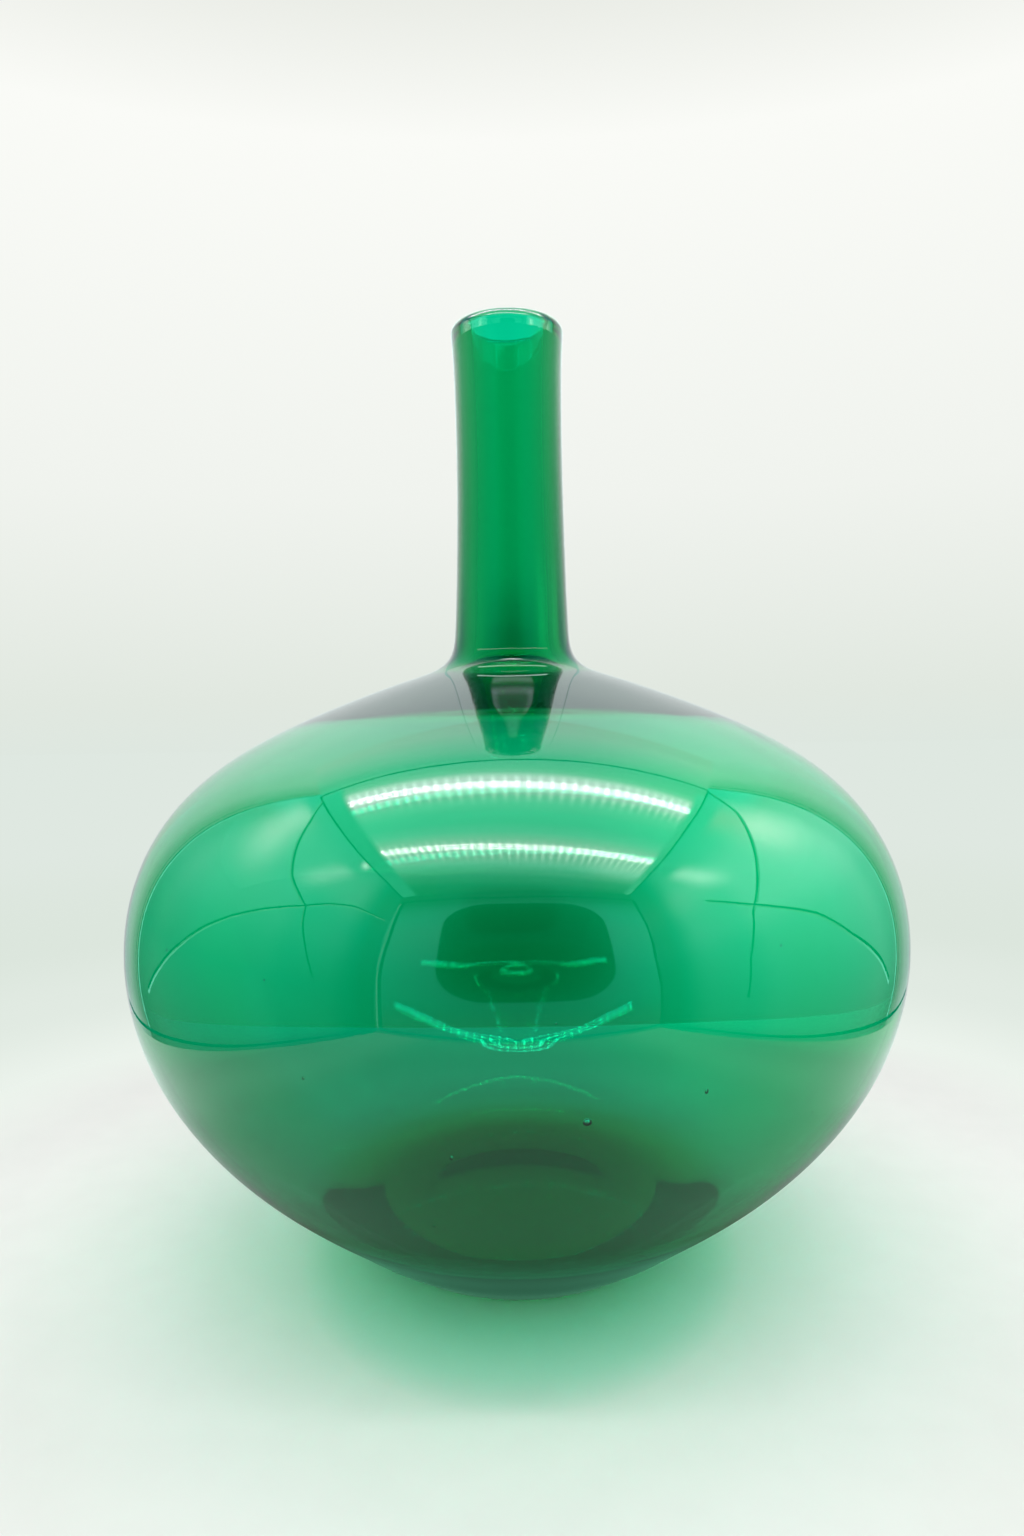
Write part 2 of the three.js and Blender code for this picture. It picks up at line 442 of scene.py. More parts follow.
def low_green(rgb, z):
    """The lower walls catch the light that has gone through the vase."""
    k = (1 - smooth(0.16, 0.24, z))[..., None]
    return rgb * (1 - k * np.array([0.30, 0.06, 0.42]))


def back_light(x, z):
    level = np.interp(z, Z_LEVEL, G_LEVEL)
    level = level * (1 + 0.30 * smooth(0.03, 0.14, x) * (1 - smooth(0.24, 0.34, z)))
    rgb = low_green(grey(level, (0.96, 1.0, 0.96)), z)
    # soft green shade that the vase itself throws on the sheet behind it
    shade = 0.66 * bump(x, z, 0.0, 0.050, 0.078, 0.060)[..., None]
    # painted shade on the sheet behind the foot of the neck
    dusk = 0.5 * bump(x, z, 0.0, 0.235, 0.07, 0.035)[..., None]
    return rgb * (1 - shade * np.array([1.1, 0.95, 1.12])) * (1 - dusk)


def side_light(y, z):
    level = np.interp(z, Z_LEVEL, G_LEVEL) * (0.80 + 0.20 * smooth(-0.2, 0.2, y))
    return low_green(grey(level, (0.96, 1.0, 0.96)), z)


def roof_light(x, y):
    return grey(0.75 + 0 * x, (0.98, 1.0, 0.98))


def rounded_box(x, z, cx, cz, hx, hz, r):
    dx = np.abs(x - cx) - (hx - r)
    dz = np.abs(z - cz) - (hz - r)
    return np.hypot(np.maximum(dx, 0), np.maximum(dz, 0)) + np.minimum(np.maximum(dx, dz), 0) - r


def port(x, z, soft=0.002):
    """1 inside the opening of the front panel."""
    return 1 - smooth(-soft, soft, rounded_box(x, z, 0.018, 0.302, 0.184, 0.182, 0.10))


def front_light(x, z):
    return grey(0.60 * (1 - 0.93 * port(x, z, 0.045)), (0.98, 1.0, 0.98))


panel("through_back", 0, 2, 1, BACK, (-HALF, HALF), (0, TOP), 0.008, back_light, THROUGH)
panel("through_front", 0, 2, 1, FRONT, (-HALF, HALF), (0, TOP), 0.004, front_light, THROUGH)
panel("through_left", 1, 2, 0, -HALF, (FRONT, BACK), (0, TOP), 0.012, side_light, THROUGH)
panel("through_right", 1, 2, 0, HALF, (FRONT, BACK), (0, TOP), 0.012, side_light, THROUGH)
panel("through_roof", 0, 1, 2, TOP, (-HALF, HALF), (FRONT, BACK), 0.012, roof_light, THROUGH)
band_mat = even_emitter("led_band", (1, 1, 1), 2.0)
row_mat = even_emitter("led_row", (1, 1, 1), 12.0, sampled=False)
dot_mat = even_emitter("led_dot", (1, 1, 1), 26.0, sampled=False)
pool_mat = even_emitter("led_pool", (1, 1, 1), 6.0)
thread_mat = even_emitter("led_thread", (1, 1, 1), 28.0)
for k, (y0, x0, x1) in enumerate(STRIPS):
    z = TOP - 0.003
    wide = [(x0, y0 - 0.03, z), (x1, y0 - 0.03, z), (x1, y0 + 0.03, z), (x0, y0 + 0.03, z)]
    sheet("led_band_%d" % k, [[(x0, y0 - 0.011, z), (x1, y0 - 0.011, z), (x1, y0 + 0.011, z), (x0, y0 + 0.011, z)]], band_mat, THROUGH)
    sheet("led_pool_%d" % k, [wide], pool_mat, ("diffuse",))
    z = TOP - 0.006
    rows = []
    threads = []
    dots = []
    for dy in (-0.0085, 0.0, 0.0085):
        rows.append([(x0, y0 + dy - 0.0016, z), (x1, y0 + dy - 0.0016, z), (x1, y0 + dy + 0.0016, z), (x0, y0 + dy + 0.0016, z)])
        threads.append([(x0, y0 + dy - 0.001, z), (x1, y0 + dy - 0.001, z), (x1, y0 + dy + 0.001, z), (x0, y0 + dy + 0.001, z)])
        for x in np.arange(x0 + 0.008, x1, 1 / 60):
            y, h = y0 + dy, 0.0025
            dots.append([(x - h, y - h, z - 0.001), (x + h, y - h, z - 0.001), (x + h, y + h, z - 0.001), (x - h, y + h, z - 0.001)])
    sheet("led_rows_%d" % k, rows, row_mat, THROUGH)
    sheet("led_dots_%d" % k, dots, dot_mat, THROUGH)
    sheet("led_threads_%d" % k, threads, thread_mat, ("diffuse",))

# --- light on the floor ------------------------------------------------------
def wash(y_or_x, z):
    return grey(np.interp(z, [0, 0.05, 0.15, 0.3, 0.564], [0.35, 0.50, 0.75, 1.05, 1.25]), (1.0, 1.0, 1.0))


panel("wash_back", 0, 2, 1, BACK, (-HALF, HALF), (0, TOP), 0.03, wash, ("diffuse",))
panel("wash_front", 0, 2, 1, FRONT, (-HALF, HALF), (0, TOP), 0.03, wash, ("diffuse",))
panel("wash_left", 1, 2, 0, -HALF, (FRONT, BACK), (0, TOP), 0.03, wash, ("diffuse",))
panel("wash_right", 1, 2, 0, HALF, (FRONT, BACK), (0, TOP), 0.03, wash, ("diffuse",))
panel("wash_roof", 0, 1, 2, TOP, (-HALF, HALF), (FRONT, BACK), 0.03, lambda x, y: grey(1.35 + 0 * x, (1.0, 1.0, 1.0)), ("diffuse",))

# --- light that the outside of the glass mirrors -----------------------------
MIRROR = ("glossy",)
COOL = np.array([0.0, 1.0, 0.83])  # what the mirrored white has over its red

ROOF = [(-0.547, 0.1), (-0.483, 0.19), (-0.426, 0.6), (-0.374, 1.8), (-0.340, 3.6), (-0.313, 5.6),
        (-0.300, 7.6), (-0.288, 8.6), (-0.275, 8.2), (-0.263, 4.9), (-0.246, 3.0), (-0.222, 1.74),
        (-0.182, 1.0), (-0.144, 1.1), (-0.106, 1.75), (-0.087, 2.7), (-0.067, 5.2), (-0.0515, 8.4),
        (-0.039, 10.2), (-0.027, 10.2), (-0.015, 9.0), (-0.0028, 6.6), (0.014, 2.4), (0.032, 1.3),
        (0.075, 0.85), (0.115, 1.45), (0.15, 1.7), (0.195, 2.0), (0.235, 1.83), (0.26, 1.8)]
ROOF_Y = [p[0] + 0.0055 for p in ROOF]
ROOF_L = [p[1] for p in ROOF]


def askew(y):
    """The strips lie a little askew in the roof, the front one more."""
    return np.interp(y, [-0.28, -0.05], [0.10, 0.07])


ROOF_C_Y = [-0.50, -0.42, -0.36, -0.31, -0.28, -0.26, -0.22, -0.15, -0.10, -0.07, -0.05, -0.03, -0.012, 0.01, 0.03, 0.08, 0.12, 0.20, 0.25]
ROOF_C_G = [0.5, 1.2, 2.6, 1.2, 0.4, 1.0, 3.0, 3.4, 3.0, 1.2, -1.5, -3.0, -1.5, 0.6, 1.6, 1.3, 0.8, 0.2, 0.0]
ROOF_C_B = [0.4, 1.0, 2.0, 1.2, 0.8, 1.0, 2.2, 2.3, 2.1, 1.2, 0.2, -0.2, 0.2, 0.8, 1.1, 0.9, 0.6, 0.2, 0.0]


def roof_mirror(x, y):
    y = y + askew(y) * x
    level = np.interp(y, ROOF_Y, ROOF_L) * 0.96
    for y0, x0, x1 in STRIPS:
        near = bump(y, 0, y0, 0, 0.05, 1)
        ends = smooth(x0 - 0.02, x0 + 0.012, x) * (1 - smooth(x1 - 0.012, x1 + 0.02, x))
        level = level * (1 - near * (1 - ends) * 0.85)
        tick = np.cos(2 * np.pi * (x - x0 - 0.008) * 30) ** 6
        front = y0 > -0.1
        side = 0.4 * bump(y, 0, y0 + 0.021, 0, 0.012, 1) + (0.7 if front else 0.9) * bump(y, 0, y0 - (0.042 if front else 0.030), 0, 0.016 if front else 0.022, 1)
        level = level * (1 + side * (tick - 0.32) * ends)
    level = level + 1.7 * smooth(0.12, 0.24, x) * bump(y, 0, -0.352, 0, 0.028, 1)
    # painted shade along the roof's side edges, greener, and deeper on the left
    edge = (smooth(0.262, 0.282, -x) + smooth(0.290, 0.308, x)) * (1 - smooth(0.05, 0.07, y))
    level = level * (1 - edge) + edge * np.where(x < 0, 0.38, 0.8)
    green, blue = np.interp(y, ROOF_C_Y, ROOF_C_G), np.interp(y, ROOF_C_Y, ROOF_C_B)
    green, blue = green * (1 - edge) + 2.3 * edge, blue * (1 - edge) + 1.7 * edge
    return np.stack([level, level + green, level + blue], -1)


LEFT_A = [(0.065, 0.038), (0.102, -0.008), (0.141, -0.052), (0.181, -0.090), (0.217, -0.128), (0.258, -0.175),
          (0.292, -0.219), (0.302, -0.234), (0.351, -0.291), (0.389, -0.358), (0.412, -0.485)]
LEFT_B = [(0.564, 0.047), (0.489, -0.039), (0.416, -0.105), (0.352, -0.168), (0.324, -0.218), (0.309, -0.245),
          (0.265, -0.261), (0.214, -0.289), (0.152, -0.320)]
RIGHT_A = [(0.061, 0.046), (0.091, 0.011), (0.142, -0.058), (0.195, -0.109), (0.270, -0.208), (0.339, -0.289)]
RIGHT_B = [(0.554, 0.059), (0.455, -0.010), (0.381, -0.088), (0.306, -0.163), (0.257, -0.212), (0.165, -0.255),
           (0.087, -0.268)]


def fold(table, y):
    t = sorted((p[1], p[0]) for p in table)
    return np.interp(y, [p[0] for p in t], [p[1] for p in t])


SHEET_Z = [0.0, 0.04, 0.11, 0.18, 0.26, 0.31, 0.36, 0.42, 0.49, 0.564]
SHEET_L = [0.78, 0.60, 0.66, 0.74, 0.92, 1.10, 1.22, 1.42, 1.55, 1.75]


def side_mirror(left):
    fa, fb = (LEFT_A, LEFT_B) if left else (RIGHT_A, RIGHT_B)
    levels = [0.20, 0.16, 0.14, 0.30, 0.62, 0.75, 0.95, 0.95, 0.70, 0.5] if left else [0.30, 0.38, 0.50, 0.80, 1.60, 1.90, 1.70, 0.95, 0.65, 0.5]
    chill = [0.35, 1.2, 2.0, 2.7, 2.7] if left else [0.5, 1.9, 2.8, 3.1, 2.7]

    def light(y, z):
        za, zb = fold(fa, y), fold(fb, y)
        over_a, over_b = smooth(-0.004, 0.004, z - za), smooth(-0.004, 0.004, z - zb)
        base = np.interp(z, [0, 0.1, 0.14, 0.2, 0.26, 0.33, 0.40, 0.46, 0.52, 0.564], levels)
        # four cloth facets between two creases, painted lighter and darker as the light falls on them
        base = base * (0.88 + 0.16 * over_a * (1 - over_b) + 0.08 * over_a * over_b)
        base = base * (1 - 0.45 * smooth(0.2, 0.26, -y) * (1 - smooth(0.30, 0.42, z)))
        base = base * (0.15 + 0.85 * smooth(-0.43, -0.34, y)) * (1 - 0.4 * smooth(0.0, 0.06, y))
        # sheen of the lamps down the outer facet, with the cloth's ripple in it
        mid = (-0.076 + 0.394 * (z - 0.303)) if left else (-0.036 - 0.070 * (z - 0.284))
        sheen = np.exp(-((y - mid) / 0.036) ** 2 / 2) * smooth(0.26, 0.40, z) * (1 - smooth(0.485, 0.525, z))
        ripple = np.sin(900 * z + 12 * np.sin(38 * y) + 60 * y) * np.sin(420 * y + 9 * np.sin(70 * z))
        base = base + (1 - 0.6 * over_b) * sheen * (2.6 if left else 3.7) * (1 + 0.22 * ripple)
        # glow on the facet by the front corner
        mid = (-0.205 - 0.50 * (z - 0.375)) if left else (-0.224 - 0.60 * (z - 0.358))
        glow = np.exp(-((y - mid) / 0.022) ** 2 / 2) * smooth(0.33, 0.41, z) * (1 - smooth(0.455, 0.505, z))
        base = base + over_b * glow * (2.1 if left else 4.2)
        base = base + (7.0 if left else 0.0) * bump(y, z, -0.285, 0.543, 0.010, 0.011)
        cool = np.interp(z, [0, 0.15, 0.25, 0.34, 0.564], chill)
        near = np.interp(y, [-0.45, -0.36, -0.2, -0.07, 0.0, 0.05, 0.085], [0.35, 0.8, 1.0, 0.85, 0.6, 0.42, 0.33])
        cool = cool * (near + (0.8 - near) * smooth(0.40, 0.47, z) * smooth(-0.1, 0.0, y))
        cool = cool - (0.5 if left else 1.4) * sheen
        rgb = grey(base) + COOL * cool[..., None]
        # beyond the seam the sheet behind the vase
        far = smooth(0.084, 0.088, y)[..., None]
        sheet_level = np.interp(z, SHEET_Z, SHEET_L) * (0.55 + 0.42 * smooth(0.09, 0.16, y))
        behind = grey(sheet_level) + COOL * (0.20 + 0.15 * smooth(0.33, 0.45, z))[..., None]
        return rgb * (1 - far) + far * behind

    return light


def back_mirror(x, z):
    cool = np.interp(z, [0, 0.2, 0.3, 0.42, 0.5, 0.564], [0.08, 0.08, 0.12, 0.25, 0.35, 0.4])
    return grey(np.interp(z, SHEET_Z, SHEET_L)) + COOL * cool[..., None]


def front_mirror(x, z):
    level = np.interp(z, [0, 0.10, 0.2, 0.35, 0.45, 0.5, 0.564], [0.17, 0.10, 0.14, 0.34, 0.25, 0.1, 0.08])
    cool = np.interp(z, [0, 0.07, 0.12, 0.25, 0.42, 0.47, 0.5, 0.564], [0.1, 0.5, 0.9, 1.5, 1.7, 1.2, 0.6, 0.4])
    side = 1 + 0.25 * smooth(0.1, 0.3, x)
    rgb = grey(level) + COOL * (cool * side)[..., None]
    return rgb * (1 - 0.99 * port(x, z))[..., None]


panel("mirror_roof", 0, 1, 2, TOP, (-HALF, HALF), (FRONT, BACK), 0.0025, roof_mirror, MIRROR)
panel("mirror_left", 1, 2, 0, -HALF, (FRONT, BACK), (0, TOP), 0.004, side_mirror(True), MIRROR)
panel("mirror_right", 1, 2, 0, HALF, (FRONT, BACK), (0, TOP), 0.004, side_mirror(False), MIRROR)
panel("mirror_back", 0, 2, 1, BACK, (-HALF, HALF), (0, TOP), 0.012, back_mirror, MIRROR)
panel("mirror_front", 0, 2, 1, FRONT, (-HALF, HALF), (0, TOP), 0.0025, front_mirror, MIRROR)



def screen_material():
    """Light that leaves one face only, like a lamp's; its back lets everything by."""
    m = bpy.data.materials.new("screen_light")
    m.use_nodes = True
    t = m.node_tree
    t.nodes.clear()
    o = t.nodes.new("ShaderNodeOutputMaterial")
    e = t.nodes.new("ShaderNodeEmission")
    a = t.nodes.new("ShaderNodeAttribute")
    a.attribute_name = "light"
    t.links.new(a.outputs["Color"], e.inputs["Color"])
    g = t.nodes.new("ShaderNodeNewGeometry")
    c = t.nodes.new("ShaderNodeBsdfTransparent")
    x = t.nodes.new("ShaderNodeMixShader")
    t.links.new(g.outputs["Backfacing"], x.inputs[0])
    t.links.new(e.outputs[0], x.inputs[1])
    t.links.new(c.outputs[0], x.inputs[2])
    t.links.new(x.outputs[0], o.inputs["Surface"])
    m.cycles.emission_sampling = "NONE"
    return m


def neck_screen():
    """Round screen close about the neck, facing it: the dim tent as the neck mirrors it."""
    nu = 240
    turn = np.linspace(-1, 1, nu) * math.radians(92)
    rows = [(0.0282, 0.2290), (0.0272, 0.2340)]
    rows += [(0.0270, z) for z in np.linspace(0.242, 0.348, 10)]
    nv = len(rows)
    r = np.array([q[0] for q in rows])[:, None] + 0 * turn
    z = np.array([q[1] for q in rows])[:, None] + 0 * turn
    a = turn + 0 * r
    p = np.stack([r * np.sin(a), -r * np.cos(a), z], -1)
    i = np.arange(nv * nu).reshape(nv, nu)
    quads = np.stack([i[:-1, :-1], i[1:, :-1], i[1:, 1:], i[:-1, 1:]], -1).reshape(-1, 4)
    m = bpy.data.meshes.new("neck_screen")
    m.from_pydata(p.reshape(-1, 3).tolist(), [], quads.tolist())
    deg = np.degrees(np.abs(a))
    level = np.interp(deg, [0, 12, 28, 45, 63, 75, 86, 98, 112, 130, 180], [0.01, 0.01, 0.05, 0.18, 0.54, 0.72, 1.25, 1.2, 0.9, 0.7, 0.6])
    level = level * np.interp(z, [0.25, 0.34], [0.65, 1.05])
    cool = np.interp(deg, [0, 10, 20, 50, 75, 92, 104], [0.15, 0.25, 0.7, 0.9, 0.7, 0.3, 1.2])
    rgba = np.ones((nv, nu, 4))
    rgba[..., :3] = grey(level) + COOL * cool[..., None]
    light = m.color_attributes.new("light", "FLOAT_COLOR", "POINT")
    light.data.foreach_set("color", rgba.reshape(-1))
    m.materials.append(screen_material())
    o = bpy.data.objects.new("neck_screen", m)
    scene.collection.objects.link(o)
    seen_by(o, *MIRROR)


neck_screen()


def gleam_material():
    """Light laid over what lies behind it, from its front side only."""
    m = bpy.data.materials.new("gleam")
    m.use_nodes = True
    t = m.node_tree
    t.nodes.clear()
    o = t.nodes.new("ShaderNodeOutputMaterial")
    q = t.nodes.new("ShaderNodeAttribute")
    q.attribute_name = "light"
    e = t.nodes.new("ShaderNodeEmission")
    g = t.nodes.new("ShaderNodeNewGeometry")
    c = t.nodes.new("ShaderNodeBsdfTransparent")
    s = t.nodes.new("ShaderNodeAddShader")
    x = t.nodes.new("ShaderNodeMixShader")
    t.links.new(q.outputs["Color"], e.inputs["Color"])
    t.links.new(e.outputs[0], s.inputs[0])
    t.links.new(c.outputs[0], s.inputs[1])
    t.links.new(g.outputs["Backfacing"], x.inputs[0])
    t.links.new(s.outputs[0], x.inputs[1])
    t.links.new(c.outputs[0], x.inputs[2])
    t.links.new(x.outputs[0], o.inputs["Surface"])
    m.cycles.emission_sampling = "NONE"
    return m


def neck_gleam():
    """Curved light on the neck's front, as the shoulder mirrors it: a bulb on a thin tail."""
    nu, nv = 41, 71
    u, v = np.meshgrid(np.linspace(-1, 1, nu), np.linspace(0, 1, nv))
    z = 0.2285 + 0.0715 * v
    half = np.interp(v, [0.0, 0.10, 0.30, 0.40, 0.50, 0.75, 1.0], [0.0080, 0.0100, 0.0096, 0.0080, 0.0060, 0.0042, 0.0030])
    x = u * half
    skin = np.interp(z, [0.2284, 0.2323, 0.2374, 0.2433, 0.2532, 0.2672], [0.02343, 0.02243, 0.02194, 0.02166, 0.02128, 0.0209])
    p = np.stack([x, -skin - 0.0007, z], -1)
    i = np.arange(nv * nu).reshape(nv, nu)
    quads = np.stack([i[:-1, :-1], i[:-1, 1:], i[1:, 1:], i[1:, :-1]], -1).reshape(-1, 4)
    m = bpy.data.meshes.new("neck_gleam")
    m.from_pydata(p.reshape(-1, 3).tolist(), [], quads.tolist())
    side = smooth(0.55, 0.85, np.abs(u)) * (1 - smooth(0.88, 1.0, np.abs(u)))
    hoop = np.exp(-((v - 0.05) / 0.035) ** 2) + 0.8 * np.exp(-((v - 0.16) / 0.04) ** 2)
    bulb = (0.35 + 0.65 * side) * (1 - smooth(0.88, 1.0, np.abs(u)))
    tail = smooth(0.40, 0.55, v) * (1 - smooth(0.90, 1.0, v)) * (1 - smooth(0.3, 1.0, np.abs(u)))
    grey_part = (bulb * smooth(0.10, 0.20, v) * (1 - smooth(0.38, 0.52, v)) + hoop * (1 - smooth(0.80, 1.0, np.abs(u)))) * 0.34
    rgba = np.ones((nv, nu, 4))
    rgba[..., 0] = grey_part + 0.18 * tail
    rgba[..., 1] = grey_part * 1.05 + 0.52 * tail
    rgba[..., 2] = grey_part * 1.25 + 0.40 * tail
    light = m.color_attributes.new("light", "FLOAT_COLOR", "POINT")
    light.data.foreach_set("color", rgba.reshape(-1))
    m.materials.append(gleam_material())
    o = bpy.data.objects.new("neck_gleam", m)
    scene.collection.objects.link(o)
    seen_by(o, *MIRROR)


neck_gleam()

# bright hoop over the fillet at the neck's foot: the lamps as the fillet mirrors them
hoop = []
for k in range(-9, 9):
    a0, a1 = math.radians(4 * k), math.radians(4 * (k + 1))
    hoop.append([(r * math.sin(a), -r * math.cos(a), 0.2297) for r, a in ((0.0237, a0), (0.0237, a1), (0.0242, a1), (0.0242, a0))])
sheet("fillet_hoop", hoop, even_emitter("hoop_light", (2.0, 2.8, 2.5), 1.0, sampled=False), MIRROR)

line_mat = even_emitter("led_line_mirror", (1, 1, 1), 30.0, sampled=False)
for k, (y0, x0, x1) in enumerate(STRIPS):
    z = TOP - 0.003
    slope = float(askew(y0))
    rows = []

    def bar(xa, xb, y, h, z):
        rows.append([(xa, y - h - slope * xa, z), (xb, y - h - slope * xb, z), (xb, y + h - slope * xb, z), (xa, y + h - slope * xa, z)])

    for dy in (-0.0085, 0.0, 0.0085):
        bar(x0, x1, y0 + dy, 0.0011, z)
        for x in np.arange(x0 + 0.008, x1, 1 / 60):
            bar(x - 0.002, x + 0.002, y0 + dy, 0.0035, z - 0.001)
    sheet("led_lines_%d" % k, rows, line_mat, MIRROR)


def ribbon(points, width, inward):
    """Narrow strip along a polyline, standing a little inside its panel: a seam, fold or corner line in the tent's
    light.
    """
    p = np.array(points, float)
    inward = np.array(inward, float)
    d = np.gradient(p, axis=0)
    side = np.cross(d, inward)
    side /= np.linalg.norm(side, axis=1)[:, None]
    a, b = p + side * width / 2 + inward * 0.002, p - side * width / 2 + inward * 0.002
    return [[a[i], a[i + 1], b[i + 1], b[i]] for i in range(len(p) - 1)]


def wobble(a, b, n, amp, axis):
    t = np.linspace(0, 1, n)[:, None]
    p = np.array(a) * (1 - t) + np.array(b) * t
    p[:, axis] += amp * np.sin(t[:, 0] * 11 + a[0] * 40) * np.sin(t[:, 0] * np.pi)
    return p


# seam, fold and corner lines of the tent as the glass mirrors them: the dark lines are the cloth's seams plus painted
# shade in its folds and corners; the pale and bright lines are painted highlights along folds and seams
dark_seam_and_fold_shade = even_emitter("dark_seam_and_fold_shade", (0.0, 0.22, 0.18), 1.0, sampled=False)
pale_seam_and_fold_highlight = even_emitter("pale_seam_and_fold_highlight", (0.9, 2.6, 2.2), 1.0, sampled=False)
bright_seam_and_fold_highlight = even_emitter("bright_seam_and_fold_highlight", (0.70, 2.15, 1.85), 1.0, sampled=False)
dark, pale, crease = [], [], []
L_IN, R_IN, UP_IN, FRONT_IN = (1, 0, 0), (-1, 0, 0), (0, 0, -1), (0, 1, 0)
for sx, inward in ((-HALF, L_IN), (HALF, R_IN)):
    dark += ribbon(wobble((sx, 0.082, 0.012), (sx, 0.082, TOP - 0.01), 40, 0.0015, 1), 0.0035, inward)
    crease += ribbon(wobble((sx, 0.078, 0.012), (sx, 0.078, TOP - 0.01), 40, 0.0015, 1), 0.003, inward)
    dark += ribbon(wobble((sx, 0.094, 0.012), (sx, 0.094, TOP - 0.01), 40, 0.0015, 1), 0.002, inward)
    dark += ribbon(wobble((sx, FRONT, TOP - 0.006), (sx, 0.07, TOP - 0.006), 40, 0.002, 2), 0.007, inward)
    dark += ribbon(wobble((sx, FRONT, 0.012), (sx, BACK, 0.010), 40, 0.002, 2), 0.005, inward)
dark += ribbon(wobble((-HALF, 0.072, TOP), (HALF, 0.072, TOP), 40, 0.002, 1), 0.006, UP_IN)
pale += ribbon(wobble((-HALF, 0.065, TOP), (HALF, 0.065, TOP), 40, 0.002, 1), 0.003, UP_IN)
for sx in (-0.300, 0.314):
    dark += ribbon(wobble((sx, FRONT, 0.01), (sx, FRONT, 0.52), 40, 0.003, 0), 0.009, FRONT_IN)
    crease += ribbon(wobble((sx * 1.032, FRONT, 0.01), (sx * 1.032, FRONT, 0.52), 40, 0.003, 0), 0.004, FRONT_IN)
dark += ribbon(wobble((-HALF, FRONT, 0.522), (HALF, FRONT, 0.522), 40, 0.003, 2), 0.006, FRONT_IN)
dark += ribbon(wobble((-HALF, FRONT, 0.012), (HALF, FRONT, 0.012), 40, 0.002, 2), 0.006, FRONT_IN)
# fold lines: painted shade down each fold, with a painted highlight beside it
for table, sx, inward in ((LEFT_A, -HALF, L_IN), (LEFT_B, -HALF, L_IN), (RIGHT_A, HALF, R_IN), (RIGHT_B, HALF, R_IN)):
    line = [(sx, y, z) for z, y in table]
    dark += ribbon(line, 0.0045, inward)
    upright = table in (LEFT_B, RIGHT_B)
    crease += ribbon([(sx, y + 0.001, z - 0.0045) for z, y in table if y > -0.18 or (upright and z > 0.24)], 0.003 if upright else 0.004, inward)
    if not upright:
        pale += ribbon([(sx, y + 0.001, z - 0.0045) for z, y in table if y < -0.10], 0.004, inward)
sheet("shaded_seam_and_fold_lines", dark, dark_seam_and_fold_shade, MIRROR)
sheet("pale_highlight_lines", pale, pale_seam_and_fold_highlight, MIRROR)
sheet("bright_highlight_lines", crease, bright_seam_and_fold_highlight, MIRROR)

# --- floor -------------------------------------------------------------------
ground = bpy.data.materials.new("pale_floor")
ground.use_nodes = True
gt = ground.node_tree
gt.nodes.clear()


def add(tree, kind, **props):
    n = tree.nodes.new(kind)
    for k, v in props.items():
        setattr(n, k, v)
    return n


def mathn(tree, op, a, b=None, c=None):
    n = add(tree, "ShaderNodeMath", operation=op)
    for i, v in enumerate((a, b, c)):
        if v is None:
            continue
        if isinstance(v, (int, float)):
            n.inputs[i].default_value = v
        else:
            tree.links.new(v, n.inputs[i])
    return n.outputs[0]


def tone_by_distance(tree, vector, stops, at, stretch=1.0):
    """Colour by distance in the plane from a point, stops in metres."""
    s = add(tree, "ShaderNodeSeparateXYZ")
    tree.links.new(vector, s.inputs[0])
    dx = mathn(tree, "SUBTRACT", s.outputs[0], at[0])
    dy = mathn(tree, "MULTIPLY", mathn(tree, "SUBTRACT", s.outputs[1], at[1]), stretch)
    d = mathn(tree, "SQRT", mathn(tree, "ADD", mathn(tree, "MULTIPLY", dx, dx), mathn(tree, "MULTIPLY", dy, dy)))
    r = add(tree, "ShaderNodeValToRGB")
    far = stops[-1][0]
    while len(r.color_ramp.elements) < len(stops):
        r.color_ramp.elements.new(0.5)
    for e, (p, c) in zip(r.color_ramp.elements, stops):
        e.position = p / far
        e.color = (*c, 1)
    tree.links.new(mathn(tree, "DIVIDE", d, far), r.inputs["Fac"])
    return r.outputs["Color"]


coord = add(gt, "ShaderNodeTexCoord")
sep = add(gt, "ShaderNodeSeparateXYZ")
gt.links.new(coord.outputs["Object"], sep.inputs[0])
px = mathn(gt, "ABSOLUTE", sep.outputs[0])
py = mathn(gt, "ABSOLUTE", mathn(gt, "MULTIPLY", sep.outputs[1], 1.18))
reach = mathn(gt, "POWER", mathn(gt, "ADD", mathn(gt, "POWER", px, 4.0), mathn(gt, "POWER", py, 4.0)), 0.25)
# near the vase the floor is matt; further out it turns into a glow of painted light that grows darker with distance
far_mix = add(gt, "ShaderNodeMapRange", interpolation_type="SMOOTHSTEP")
far_mix.inputs["From Min"].default_value = 0.215
far_mix.inputs["From Max"].default_value = 0.300
gt.links.new(reach, far_mix.inputs["Value"])
dist = mathn(gt, "POWER", mathn(gt, "ADD", mathn(gt, "POWER", sep.outputs[0], 2.0), mathn(gt, "POWER", sep.outputs[1], 2.0)), 0.5)
tone = add(gt, "ShaderNodeMapRange")
tone.inputs["From Min"].default_value = 0.2
tone.inputs["From Max"].default_value = 1.4
gt.links.new(dist, tone.inputs["Value"])
ramp = add(gt, "ShaderNodeValToRGB")
ramp.color_ramp.interpolation = "EASE"
stops = [(0.20, (236, 245, 237)), (0.275, (238, 245, 238)), (0.458, (225, 234, 226)), (0.667, (220, 230, 221)), (1.4, (223, 232, 225))]
while len(ramp.color_ramp.elements) < len(stops):
    ramp.color_ramp.elements.new(0.5)
for e, (d, c) in zip(ramp.color_ramp.elements, stops):
    e.position = (d - 0.2) / 1.2
    e.color = (*srgb(*c), 1)
gt.links.new(tone.outputs[0], ramp.inputs["Fac"])
glow = add(gt, "ShaderNodeEmission")
